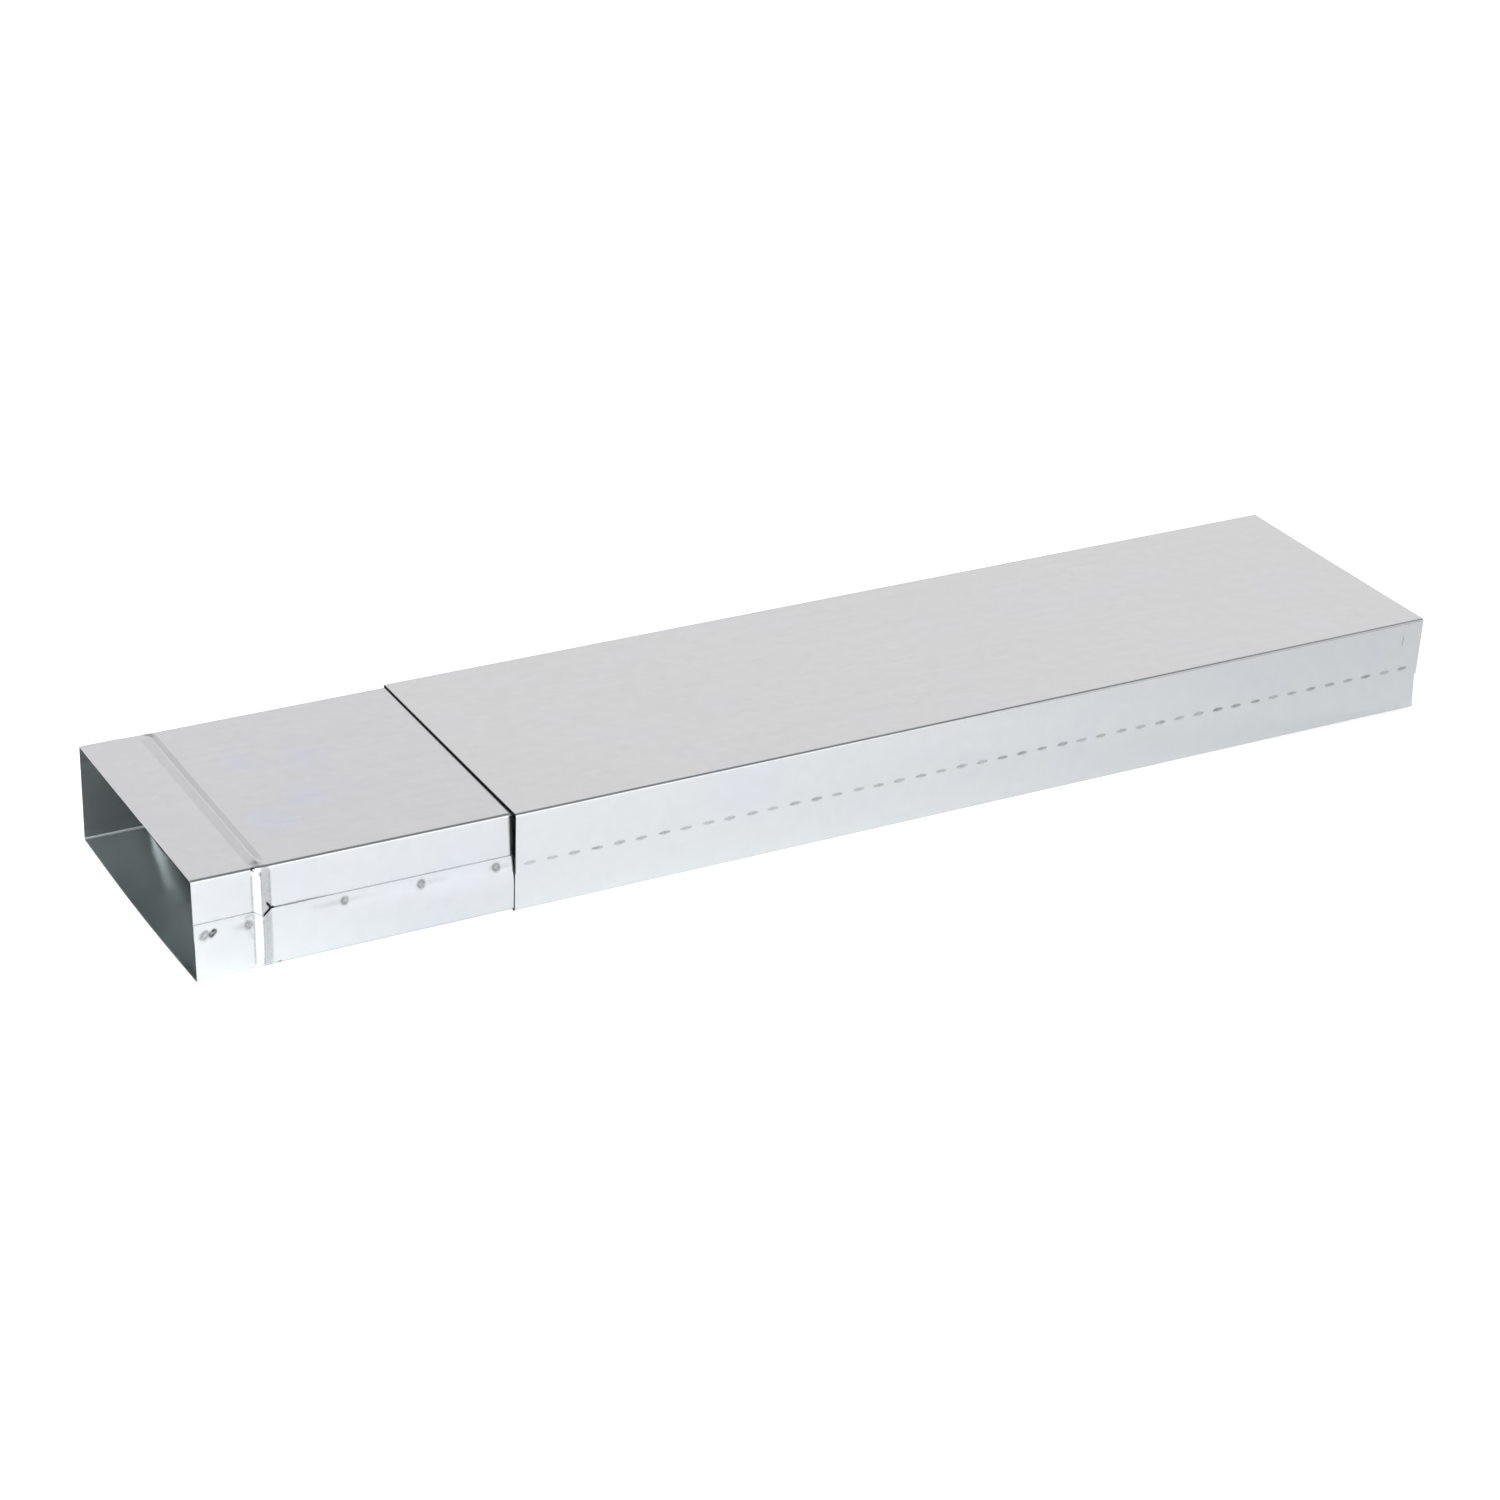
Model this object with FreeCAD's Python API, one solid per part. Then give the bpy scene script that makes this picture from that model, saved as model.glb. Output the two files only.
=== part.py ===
import FreeCAD, Part
import math
import os

# Telescopic flat channel duct, in millimetres, +Z up and +X along the duct.
# Two rectangular channels, each folded from one galvanised sheet and closed by a
# welded lap on the same long side (-Y). The inner channel slides in the outer one.
# The free end of the inner channel is a spigot behind a bead that is rolled
# outwards into all four walls: the bead stops the spigot in the next fitting, and
# stops the inner channel when the duct is pushed shut.
# The origin is on the floor, under the middle of the duct as it is stored.

# Driving dimensions
airway_width = 150.0  # clear width of the open end that takes the next spigot
airway_height = 50.0  # clear height of the same end
sheet = 0.6  # thickness of the galvanised sheet
bend_radius = 0.8  # inside radius of every fold
outer_length = 520.0
inner_length = 520.0
exposed_length = 157.0  # how much of the inner channel shows, as stored
slide_clearance = 0.5  # gap between the two channels, on each side
lap_width = 9.0  # how far the two edges of a sheet overlap at its seam
weld_drop = 1.0  # how far the middle of the lap lies below the middle of the side
bead_setback = 33.5  # from the rim of the spigot to the crest of the bead
bead_width = 9.3
bead_height = 1.1  # how far the bead stands out of the walls
bead_radius = 2.0  # outside radius of the bead's crest, and of its two feet

# Sizes that follow from them
outer_width = airway_width + 2 * sheet
outer_height = airway_height + 2 * sheet
lapped_airway_width = airway_width - sheet  # the inner flange of the lap takes one sheet
inner_width = lapped_airway_width - 2 * slide_clearance
inner_height = airway_height - 2 * slide_clearance
fold_radius = bend_radius + sheet  # outside radius of every fold
stored_length = exposed_length + outer_length

# Places
spigot_rim_x = -stored_length / 2
outer_mouth_x = spigot_rim_x + exposed_length
outer_mid_y = 0.0
inner_mid_y = sheet / 2  # middle of the way past the lap of the outer channel
outer_base_z = max(0.0, bead_height - sheet - slide_clearance)  # the lower of the two is on the floor
inner_base_z = outer_base_z + sheet + slide_clearance
mid_z = outer_base_z + outer_height / 2
weld_z = mid_z - weld_drop

X_AXIS = FreeCAD.Vector(1, 0, 0)
Z_AXIS = FreeCAD.Vector(0, 0, 1)
QUARTER_TURN = 90.0


def arc_through(centre, radius, start_deg, end_deg):
    """An arc in the XZ plane about a centre (x, z), from one polar angle to another."""

    def at(angle_deg):
        angle = math.radians(angle_deg)
        return FreeCAD.Vector(centre[0] + radius * math.cos(angle), 0, centre[1] + radius * math.sin(angle))

    return Part.Arc(at(start_deg), at((start_deg + end_deg) / 2), at(end_deg)).toShape()


def bead_arcs(depth):
    """The three arcs of the bead's line at a depth under the outside face: foot, crest, foot.

    Straight flanks join them in tangents. Their slope is the one angle at which the two arcs of a
    flank and the straight between them fill half the bead's width and all its height.
    """
    half_width = bead_width / 2
    rise_left = 2 * bead_radius - bead_height
    reach = math.hypot(half_width, rise_left)
    slope = math.degrees(math.atan2(half_width, rise_left) - math.acos(2 * bead_radius / reach))
    crest_centre = (bead_setback, bead_height - bead_radius)
    foot_centres = [(bead_setback + side * half_width, bead_radius) for side in (-1, 1)]
    up, down = 90.0, -90.0
    return [
        arc_through(foot_centres[0], bead_radius + depth, down, down + slope),
        arc_through(crest_centre, bead_radius - depth, up + slope, up - slope),
        arc_through(foot_centres[1], bead_radius + depth, down - slope, down),
    ]


def sheet_line(length, depth, beaded):
    """The edges of one face of the sheet, seen from the side, from its first end to its last."""
    start, end = FreeCAD.Vector(0, 0, -depth), FreeCAD.Vector(length, 0, -depth)
    if not beaded:
        return [Part.LineSegment(start, end).toShape()]
    arcs = bead_arcs(depth)
    leave = [start, *(arc.Vertexes[-1].Point for arc in arcs)]
    arrive = [*(arc.Vertexes[0].Point for arc in arcs), end]
    return arcs + [Part.LineSegment(*ends).toShape() for ends in zip(leave, arrive)]


def sheet_profile(length, beaded):
    """The sheet cut along the duct: a face in the XZ plane whose outside lies on z = 0."""
    ends = [
        Part.LineSegment(FreeCAD.Vector(x, 0, 0), FreeCAD.Vector(x, 0, -sheet)).toShape()
        for x in (0, length)
    ]
    edges = sheet_line(length, 0, beaded) + sheet_line(length, sheet, beaded) + ends
    return Part.Face(Part.Wire(Part.__sortEdges__(edges)))


def fold_up(profile, corners):
    """Carries the sheet's profile along its folded outside line, from one free edge to the other.

    The line starts up the near side, and turns a quarter to the right at each corner (y, z).
    Straight walls are extruded, and folds are turned about their own axes.
    """
    pieces = []
    last_run = len(corners) - 2
    for run in range(len(corners) - 1):
        start, end = (FreeCAD.Vector(0, *corner) for corner in corners[run : run + 2])
        along = (end - start).normalize()
        facing = FreeCAD.Rotation(X_AXIS, QUARTER_TURN * (1 - run))
        outward = facing.multVec(Z_AXIS)
        first = start if run == 0 else start + along * fold_radius
        last = end if run == last_run else end - along * fold_radius
        wall = profile.copy()
        wall.Placement = FreeCAD.Placement(first, facing)
        pieces.append(wall.extrude(last - first))
        if run != last_run:
            edge = profile.copy()
            edge.Placement = FreeCAD.Placement(last, facing)
            pieces.append(edge.revolve(last - outward * fold_radius, -X_AXIS, QUARTER_TURN))
    return pieces[0].multiFuse(pieces[1:]).removeSplitter()


def folded_channel(profile, near_y, far_y, base_z, top_z, upper_flange_outside):
    """A channel closed by a lap on its near side, where one flange lies outside the other."""
    tucked_y = near_y + sheet
    upper_y, lower_y = (near_y, tucked_y) if upper_flange_outside else (tucked_y, near_y)
    return fold_up(
        profile,
        [
            (upper_y, weld_z - lap_width / 2),
            (upper_y, top_z),
            (far_y, top_z),
            (far_y, base_z),
            (lower_y, base_z),
            (lower_y, weld_z + lap_width / 2),
        ],
    )


def make_outer_channel():
    """The outer channel, with its upper flange outside."""
    channel = folded_channel(
        sheet_profile(outer_length, beaded=False),
        outer_mid_y - outer_width / 2,
        outer_mid_y + outer_width / 2,
        outer_base_z,
        outer_base_z + outer_height,
        upper_flange_outside=True,
    )
    return channel.translate(X_AXIS * outer_mouth_x)


def make_inner_channel():
    """The beaded inner channel, with its lower flange outside."""
    channel = folded_channel(
        sheet_profile(inner_length, beaded=True),
        inner_mid_y - inner_width / 2,
        inner_mid_y + inner_width / 2,
        inner_base_z,
        inner_base_z + inner_height,
        upper_flange_outside=False,
    )
    return channel.translate(X_AXIS * spigot_rim_x)


def main():
    os.makedirs("parts", exist_ok=True)
    channels = {"outer_channel": make_outer_channel(), "inner_channel": make_inner_channel()}
    for name, channel in channels.items():
        solid = channel.Solids[0]
        if len(channel.Solids) != 1 or not solid.isValid():
            raise ValueError(f"{name} is not one sound solid")
        solid.exportStep(f"parts/{name}.step")
        print(f"{name}: {len(solid.Faces)} faces, {solid.Volume:.1f} mm3, {solid.BoundBox}")


main()
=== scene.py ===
import logging
import math
from dataclasses import dataclass, field
from enum import Enum
from functools import partial
from typing import Any

import bpy
import numpy as np
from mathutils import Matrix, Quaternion, Vector
from numpy.typing import NDArray


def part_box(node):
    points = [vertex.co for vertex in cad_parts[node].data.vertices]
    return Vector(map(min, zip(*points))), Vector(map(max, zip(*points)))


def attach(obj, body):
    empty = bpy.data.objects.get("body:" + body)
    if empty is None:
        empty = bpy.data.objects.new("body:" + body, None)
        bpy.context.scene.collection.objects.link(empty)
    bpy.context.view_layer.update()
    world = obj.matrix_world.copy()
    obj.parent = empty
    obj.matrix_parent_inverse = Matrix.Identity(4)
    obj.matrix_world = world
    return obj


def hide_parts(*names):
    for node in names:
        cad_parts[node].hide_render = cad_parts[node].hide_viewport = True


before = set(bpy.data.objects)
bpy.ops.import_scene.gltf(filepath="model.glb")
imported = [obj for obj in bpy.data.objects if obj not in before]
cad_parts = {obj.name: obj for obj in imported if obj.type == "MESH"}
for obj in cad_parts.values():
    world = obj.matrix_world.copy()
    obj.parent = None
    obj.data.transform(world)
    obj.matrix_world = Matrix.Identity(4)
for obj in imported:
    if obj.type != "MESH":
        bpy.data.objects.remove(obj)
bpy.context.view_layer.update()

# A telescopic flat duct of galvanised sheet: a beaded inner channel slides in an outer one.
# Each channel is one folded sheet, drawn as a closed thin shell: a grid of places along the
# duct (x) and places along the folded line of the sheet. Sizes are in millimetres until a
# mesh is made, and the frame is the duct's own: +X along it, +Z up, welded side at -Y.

Array = NDArray[np.float64]
Flags = NDArray[np.bool_]
Point = tuple[float, float]
Range = tuple[float, float]
Place = tuple[float, float, float]
Rgba = tuple[float, float, float, float]

LOG = logging.getLogger("flat_duct")
MM = 0.001
# The sheet's dark mark: weld scale, and painted shade in the bead's bends, pinches and lap.
MARK = "weld_scale_and_painted_shade"
CRUSHED = "crushed_zinc"
ON_FOLD = -1  # stands for a wall's number at the places of a fold
FOLD_STEP_DEGREES = 15
FACES_NEAR = -0.5  # places whose outward y is below this face the welded side
SHARP_DEGREES = 40


def linear(hex_colour: str) -> Rgba:
    """Turn an sRGB hex colour into linear light.

    Args:
        hex_colour: six hex digits, such as "c8ccd0".

    Returns:
        Linear red, green and blue, and an alpha of one.
    """
    srgb = np.frombuffer(bytes.fromhex(hex_colour), np.uint8) / 255
    rgb = np.where(srgb <= 0.04045, srgb / 12.92, ((srgb + 0.055) / 1.055) ** 2.4)
    return (*rgb.tolist(), 1.0)


def smooth(values: Array, low: float | Array, high: float | Array) -> Array:
    """Rise from 0 at `low` to 1 at `high` by the cubic 3t^2 - 2t^3, flat beyond them."""
    t = np.clip((values - low) / (high - low), 0, 1)
    return t * t * (3 - 2 * t)


def lines_between(start: float, end: float, step: float, *finer: Array, grid: float) -> Array:
    """Choose the places along a stretch where a mesh gets its lines.

    Args:
        start: the stretch's first place.
        end: its last place.
        step: the even distance between lines where nothing finer is asked for.
        finer: further places that need a line of their own.
        grid: lines snap to this distance, so that no two are nearly the same.

    Returns:
        The places in rising order, both ends among them.
    """
    even = np.linspace(start, end, max(2, round((end - start) / step) + 1))
    wanted = np.unique(np.round(np.concatenate([even, *finer]) / grid)) * grid
    inside = wanted[(wanted > start + grid) & (wanted < end - grid)]
    return np.concatenate([[start], inside, [end]])


def add_node(
    tree: bpy.types.NodeTree,
    kind: str,
    inputs: dict[str | int, Any] | None = None,
    **settings: Any,
) -> bpy.types.Node:
    """Add a shader node with its settings and links.

    Args:
        tree: the node tree that gets the node.
        kind: the node's type, without the "ShaderNode" in front.
        inputs: each input's name or number, with a value or the output that feeds it. A node
            stands for its first output. A map range goes from 1 and 2 to 3 and 4. A mix blends
            numbers 2 and 3, or colours 6 and 7.
        settings: the node's own properties.

    Returns:
        The new node.
    """
    node = tree.nodes.new(f"ShaderNode{kind}")
    for name, value in settings.items():
        setattr(node, name, value)
    for key, value in (inputs or {}).items():
        if isinstance(value, bpy.types.Node):
            value = value.outputs[0]
        if isinstance(value, bpy.types.NodeSocket):
            tree.links.new(value, node.inputs[key])
        else:
            node.inputs[key].default_value = value
    return node


def node_adder(owner: bpy.types.Material | bpy.types.World) -> partial[bpy.types.Node]:
    """Empty a node tree, to fill it afresh.

    Args:
        owner: the material or world that has the tree.

    Returns:
        The call that adds a node to it.
    """
    owner.use_nodes = True
    owner.node_tree.nodes.clear()
    return partial(add_node, owner.node_tree)


@dataclass(frozen=True)
class GalvanisedSheet:
    """Hot-dip galvanised steel sheet, skin-passed between rollers.

    To the eye it is a satin grey metal: blurred reflections, a faint spangle of zinc crystals,
    fine roll lines along the sheet, a few cloudy bluish patches, dark scale at the welds, painted
    shade in the same dark colour in the bead's bends, pinches and lap, and pale matt lines inside
    the folds.
    """

    name: str
    zinc: str = "c3c8c8"
    cloud: str = "bcc2d2"
    scale_and_shade: str = "1b1c1d"
    roughness: float = 0.2
    crushed_roughness: float = 0.32
    cloud_amount: float = 0.12
    cloud_range: Range = (0.52, 0.68)
    cloud_mm: float = 46.0
    stains: tuple[tuple[float, float, float], ...] = ()
    stain_z: float = 50.1
    stain_amount: float = 0.62
    stain_ragged_mm: float = 16.0
    spangle_mm: float = 5.0
    spangle_contrast: float = 0.012
    roll_line_mm: float = 0.9
    roll_line_length_mm: float = 160.0
    roll_line_range: Range = (0.25, 0.75)
    roll_line_roughness: float = 0.03
    burn_grain_mm: float = 1.1
    burn_grain_range: Range = (0.3, 0.7)
    burn_least: float = 0.55
    relief_mm: float = 0.005

    def material(self) -> bpy.types.Material:
        """Build the sheet's material.

        Returns:
            A metal whose colour and roughness vary with crystals, roll lines, clouds and welds.
        """
        material = bpy.data.materials.new(self.name)
        add = node_adder(material)
        place = add("TexCoord").outputs["Object"]
        clouds = add(
            "TexNoise",
            {"Vector": place, "Scale": 1 / (self.cloud_mm * MM), "Detail": 2.0, "Roughness": 0.45},
        )
        low, high = self.cloud_range
        tint = add(
            "MapRange",
            {"Value": clouds, 1: low, 2: high, 3: 0.0, 4: self.cloud_amount},
            interpolation_type="SMOOTHSTEP",
        )
        ragged = add(
            "VectorMath",
            {0: clouds.outputs["Color"], 1: (self.stain_ragged_mm * MM,) * 3, 2: place},
            operation="MULTIPLY_ADD",
        )
        for x, y, radius in self.stains:
            middle = np.array([x, y, self.stain_z]) + self.stain_ragged_mm / 2
            away = add("VectorMath", {0: ragged, 1: tuple(middle * MM)}, operation="DISTANCE")
            distance = away.outputs["Value"]
            stain = add(
                "MapRange",
                {"Value": distance, 1: 0.0, 2: radius * MM, 3: self.stain_amount, 4: 0.0},
                interpolation_type="SMOOTHSTEP",
            )
            tint = add("Math", {0: tint, 1: stain}, operation="MAXIMUM")
        tinted = add(
            "Mix", {0: tint, 6: linear(self.zinc), 7: linear(self.cloud)}, data_type="RGBA"
        )
        # Crystals of a skin-passed sheet are about 1 mm. They are drawn larger, so that they show.
        spangle = add("TexVoronoi", {"Vector": place, "Scale": 1 / (self.spangle_mm * MM)})
        crystal = add("SeparateColor", {"Color": spangle.outputs["Color"]})
        contrast = self.spangle_contrast
        glint = add("MapRange", {"Value": crystal, 3: 1 - contrast, 4: 1 + contrast})
        spangled = add(
            "Mix", {0: 1.0, 6: tinted.outputs[2], 7: glint}, data_type="RGBA", blend_type="MULTIPLY"
        )
        # Roll lines run along the duct. Real ones are near 0.1 mm apart, and these are coarser.
        along = 1 / (self.roll_line_length_mm * MM)
        across = 1 / (self.roll_line_mm * MM)
        stretched = add("Mapping", {"Vector": place, "Scale": (along, across, across)})
        rolled = add(
            "TexNoise", {"Vector": stretched, "Scale": 1.0, "Detail": 3.0, "Roughness": 0.6}
        )
        grain = add(
            "TexNoise", {"Vector": place, "Scale": 1 / (self.burn_grain_mm * MM), "Detail": 2.0}
        )
        low, high = self.burn_grain_range
        patchy = add("MapRange", {"Value": grain, 1: low, 2: high, 3: self.burn_least, 4: 1.0})
        # The mark darkens towards the scale colour: weld scale, and painted shade in the bead's
        # bends, pinches and lap.
        mark = add("Attribute", attribute_name=MARK)
        burnt_and_shaded = add("Math", {0: mark.outputs["Fac"], 1: patchy}, operation="MULTIPLY")
        colour = add(
            "Mix", {0: burnt_and_shaded, 6: spangled.outputs[2], 7: linear(self.scale_and_shade)}, data_type="RGBA"
        )
        low, high = self.roll_line_range
        rough, vary = self.roughness, self.roll_line_roughness
        satin = add(
            "MapRange", {"Value": rolled, 1: low, 2: high, 3: rough - vary, 4: rough + vary}
        )
        # The zinc is crushed and matt on the inside of the folds, which catch light as pale lines.
        crushed = add("Attribute", attribute_name=CRUSHED)
        worn = add("Mix", {0: crushed.outputs["Fac"], 2: satin, 3: self.crushed_roughness})
        relief = add("Bump", {"Height": rolled, "Distance": self.relief_mm * MM, "Strength": 0.5})
        shader = add(
            "BsdfPrincipled",
            {
                "Base Color": colour.outputs[2],
                "Roughness": worn,
                "Metallic": 1.0,
                "Normal": relief,
            },
        )
        add("OutputMaterial", {"Surface": shader})
        return material


@dataclass(frozen=True)
class ShearedEdge:
    """The cut edge of the sheet: bare steel, streaked by the shear and duller than the zinc.

    Its default greys are dark, painted shade for the gap at the outer channel's mouth.
    """

    name: str
    steel: str = "6d6e70"
    dull: str = "3a3a3b"
    roughness: float = 0.55
    shear_mark_mm: float = 1.5

    def material(self) -> bpy.types.Material:
        """Build the edge's material: rough metal in two greys, mixed by the shear's streaks.

        Returns:
            The material for every cut edge.
        """
        material = bpy.data.materials.new(self.name)
        add = node_adder(material)
        place = add("TexCoord").outputs["Object"]
        streaks = add(
            "TexNoise", {"Vector": place, "Scale": 1 / (self.shear_mark_mm * MM), "Detail": 2.0}
        )
        colour = add(
            "Mix", {0: streaks, 6: linear(self.dull), 7: linear(self.steel)}, data_type="RGBA"
        )
        shader = add(
            "BsdfPrincipled",
            {"Base Color": colour.outputs[2], "Roughness": self.roughness, "Metallic": 1.0},
        )
        add("OutputMaterial", {"Surface": shader})
        return material


class Wall(Enum):
    """The flat stretches of a folded sheet, from the upper flange's free edge onwards."""

    UPPER_FLANGE = 0
    TOP = 1
    FAR_SIDE = 2
    BASE = 3
    LOWER_FLANGE = 4


@dataclass(frozen=True)
class FoldedLine:
    """The outside line of a folded sheet, seen along the duct, at each of its places.

    The line starts at the upper flange's free edge, goes up, and turns right at each fold.
    """

    y: Array
    z: Array
    out_y: Array
    out_z: Array
    length: Array
    from_fold: Array
    wall: NDArray[np.int_]

    @classmethod
    def trace(cls, corners: list[Point], radius: float, lines: dict[Wall, Array]) -> "FoldedLine":
        """Trace the line: straight walls, and quarter circles of one radius where they meet.

        On a fold of centre c, a place is c + radius * (outward * cos a + along * sin a), where
        `along` and `outward` are the directions of the wall before it and a goes from 0 to 90
        degrees.

        Args:
            corners: the sharp corners (y, z), the two free edges first and last.
            radius: outside radius of the folds.
            lines: for each wall, how far its places are from the start of its flat part.

        Returns:
            The traced line.
        """
        angles = np.radians(np.arange(FOLD_STEP_DEGREES, 90, FOLD_STEP_DEGREES))
        spots, outs, folds, walls = [], [], [], []
        for wall in Wall:
            start, end = np.array(corners[wall.value :][:2])
            along = (end - start) / np.hypot(*(end - start))
            outward = np.array([-along[1], along[0]])
            first = start if wall is Wall.UPPER_FLANGE else start + along * radius
            away = lines[wall]
            spots.append(first + away[:, None] * along)
            outs.append(np.tile(outward, (len(away), 1)))
            ahead = np.inf if wall is Wall.LOWER_FLANGE else away[-1] - away
            behind = np.inf if wall is Wall.UPPER_FLANGE else away
            folds.append(np.minimum(ahead, behind))
            walls.append(np.full(len(away), wall.value))
            if wall is not Wall.LOWER_FLANGE:
                turned = np.cos(angles)[:, None] * outward + np.sin(angles)[:, None] * along
                centre = end - (along + outward) * radius
                spots.append(centre + radius * turned)
                outs.append(turned)
                folds.append(np.zeros(len(angles)))
                walls.append(np.full(len(angles), ON_FOLD))
        (y, z), (out_y, out_z) = np.concatenate(spots).T, np.concatenate(outs).T
        length = np.cumsum(np.hypot(np.diff(y, prepend=y[0]), np.diff(z, prepend=z[0])))
        return cls(y, z, out_y, out_z, length, np.concatenate(folds), np.concatenate(walls))

    def on(self, *walls: Wall) -> Flags:
        """Tell which places lie on any of these walls."""
        return np.isin(self.wall, [wall.value for wall in walls])

    def on_welded_side(self) -> Flags:
        """Tell which places face the welded side: its flanges, and most of the folds by them."""
        return self.out_y < FACES_NEAR


@dataclass(frozen=True)
class Stroke:
    """A mark on the welded side, for weld scale and painted shade alike: a straight stroke with
    round ends, from one (x, z) to another.

    The further its darkness is above 1, the less zinc shows through the grain of the dark colour.
    """

    start: Point
    end: Point
    radius: float
    darkness: float
    dent: float = 0.0
    softness: float = 0.5
    taper: float = 0.0
    hollow: float = 0.0
    hollow_reach: float = 0.8
    wall: Wall | None = None

    def cover(self, x: Array, z: Array) -> Array:
        """Say how much of the mark lies on each place.

        The distance to the nearest point of the stroke is compared with its radius, which shrinks
        by the taper from the middle of the stroke to its ends: inside it the cover is 1, and it
        falls to 0 over the soft share of the radius. A hollow mark is palest in its middle, and
        less so out to the hollow's reach, a share of the radius.

        Args:
            x: places along the duct.
            z: heights, in a shape that x broadcasts with.

        Returns:
            Cover from 0 to 1.
        """
        (x0, z0), (x1, z1) = self.start, self.end
        run_x, run_z = x1 - x0, z1 - z0
        squared = run_x * run_x + run_z * run_z
        t = np.clip(((x - x0) * run_x + (z - z0) * run_z) / squared, 0, 1)
        radius = self.radius * (1 - self.taper * (2 * t - 1) ** 2)
        distance = np.hypot(x - x0 - t * run_x, z - z0 - t * run_z) / radius
        paler = self.hollow * (1 - smooth(distance, 0, self.hollow_reach))
        return (1 - smooth(distance, 1 - self.softness, 1 + self.softness)) * (1 - paler)


@dataclass
class Channel:
    """One sheet folded to a rectangular channel, and closed by a welded lap on its near side."""

    node: str
    body: str
    slot: str
    finish: GalvanisedSheet
    cut_edge: ShearedEdge
    outside_flange: Wall
    seed: int
    proud: float = 0.0
    sheet: float = 0.6
    fold_radius: float = 1.4
    lap_width: float = 9.0
    lap_peep: float = 0.0
    weld_z: float = 24.6
    wave_height: float = 0.2
    wave_length: float = 210.0
    wave_shares: tuple[float, ...] = (1.0, 0.62, 0.41)
    wave_slant: float = 0.6
    fold_margin: float = 24.0
    step_along: float = 20.0
    step_across: float = 14.0
    edge_lines: tuple[float, ...] = (0.4, 1.2)
    strokes: list[Stroke] = field(default_factory=list)

    def __post_init__(self) -> None:
        """Read the channel's place from its node: its box, less what stands proud of its walls."""
        low, high = (np.array(corner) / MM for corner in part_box(self.node))
        self.start_x, self.end_x = low[0], high[0]
        self.near_y, self.far_y = low[1] + self.proud, high[1] - self.proud
        self.base_z, self.top_z = low[2] + self.proud, high[2] - self.proud
        self.random = np.random.default_rng(self.seed)

    def corners(self) -> list[Point]:
        """List the corners of the folded line.

        Returns:
            Corners (y, z), from the upper flange's free edge to the lower one's.
        """
        tucked_y = self.near_y + self.sheet
        upper_outside = self.outside_flange is Wall.UPPER_FLANGE
        upper_y, lower_y = (self.near_y, tucked_y) if upper_outside else (tucked_y, self.near_y)
        return [
            (upper_y, self.weld_z - self.lap_width / 2),
            (upper_y, self.top_z),
            (self.far_y, self.top_z),
            (self.far_y, self.base_z),
            (lower_y, self.base_z),
            (lower_y, self.weld_z + self.lap_width / 2),
        ]

    def fold(self, at_folds: Array, upper_z: Array, lower_z: Array) -> FoldedLine:
        """Fold the sheet's line.

        Args:
            at_folds: distances from each fold that get a line.
            upper_z: heights on the upper flange that get a line.
            lower_z: heights on the lower flange that get a line.

        Returns:
            The folded line with its places.
        """
        corners = self.corners()
        upper, lower = Wall.UPPER_FLANGE, Wall.LOWER_FLANGE
        edge = self.fold_radius
        flats = {wall: math.dist(*corners[wall.value :][:2]) - 2 * edge for wall in Wall}
        flats[upper] += edge
        flats[lower] += edge
        extra = {
            wall: np.concatenate([at_folds, flat - at_folds]) for wall, flat in flats.items()
        }
        extra[upper] = np.concatenate([flats[upper] - at_folds, upper_z - corners[0][1]])
        extra[lower] = np.concatenate([at_folds, lower_z - self.base_z - edge])
        lines = {
            wall: lines_between(0, flat, self.step_across, extra[wall], grid=0.1)
            for wall, flat in flats.items()
        }
        return FoldedLine.trace(corners, edge, lines)

    def lines_along(self, *finer: Array, grid: float = 0.1) -> Array:
        """Choose the places along the duct that get a line, some of them close to each end.

        Args:
            finer: further places that need a line of their own.
            grid: lines snap to this distance.

        Returns:
            The places in rising order.
        """
        in_from_end = np.array(self.edge_lines)
        ends = np.concatenate([self.start_x + in_from_end, self.end_x - in_from_end])
        return lines_between(self.start_x, self.end_x, self.step_along, *finer, ends, grid=grid)

    def waves(self, x: Array, line: FoldedLine) -> Array:
        """Work out how far the walls stray from flat, as thin sheet does.

        The height is a sum of three slanting sine waves of different lengths and phases. It fades
        to nothing at the folds, and by the lap, where two layers have to stay together.

        Args:
            x: places along the duct.
            line: the folded line.

        Returns:
            Heights outwards, none above the flat wall, a row for each x and a column for each
            place of the line.
        """
        total = np.zeros((len(x), len(line.y)))
        for share in self.wave_shares:
            phase = self.random.uniform(0, 2 * math.pi)
            slant = self.random.uniform(-self.wave_slant, self.wave_slant)
            turns = (x[:, None] + slant * line.length) / (self.wave_length * share)
            wave = np.sin(2 * math.pi * turns + phase) - 1
            total += share * wave / (2 * sum(self.wave_shares))
        free = smooth(np.minimum(line.from_fold, self.fold_margin), 0, self.fold_margin)
        near = line.on(Wall.UPPER_FLANGE, Wall.LOWER_FLANGE)
        from_lap = np.abs(line.z - self.weld_z) - self.lap_width / 2
        free = np.where(near, free * smooth(from_lap, 0, self.fold_margin / 2), free)
        return self.wave_height * total * free

    def covered(self, line: FoldedLine) -> Flags:
        """Tell which places of the tucked flange the outside one hides.

        Args:
            line: the folded line.

        Returns:
            True where it is hidden, all but the bit that may peep out.
        """
        hidden = self.lap_width / 2 - self.lap_peep
        if self.outside_flange is Wall.UPPER_FLANGE:
            return line.on(Wall.LOWER_FLANGE) & (line.z > self.weld_z - hidden)
        return line.on(Wall.UPPER_FLANGE) & (line.z < self.weld_z + hidden)

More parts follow.
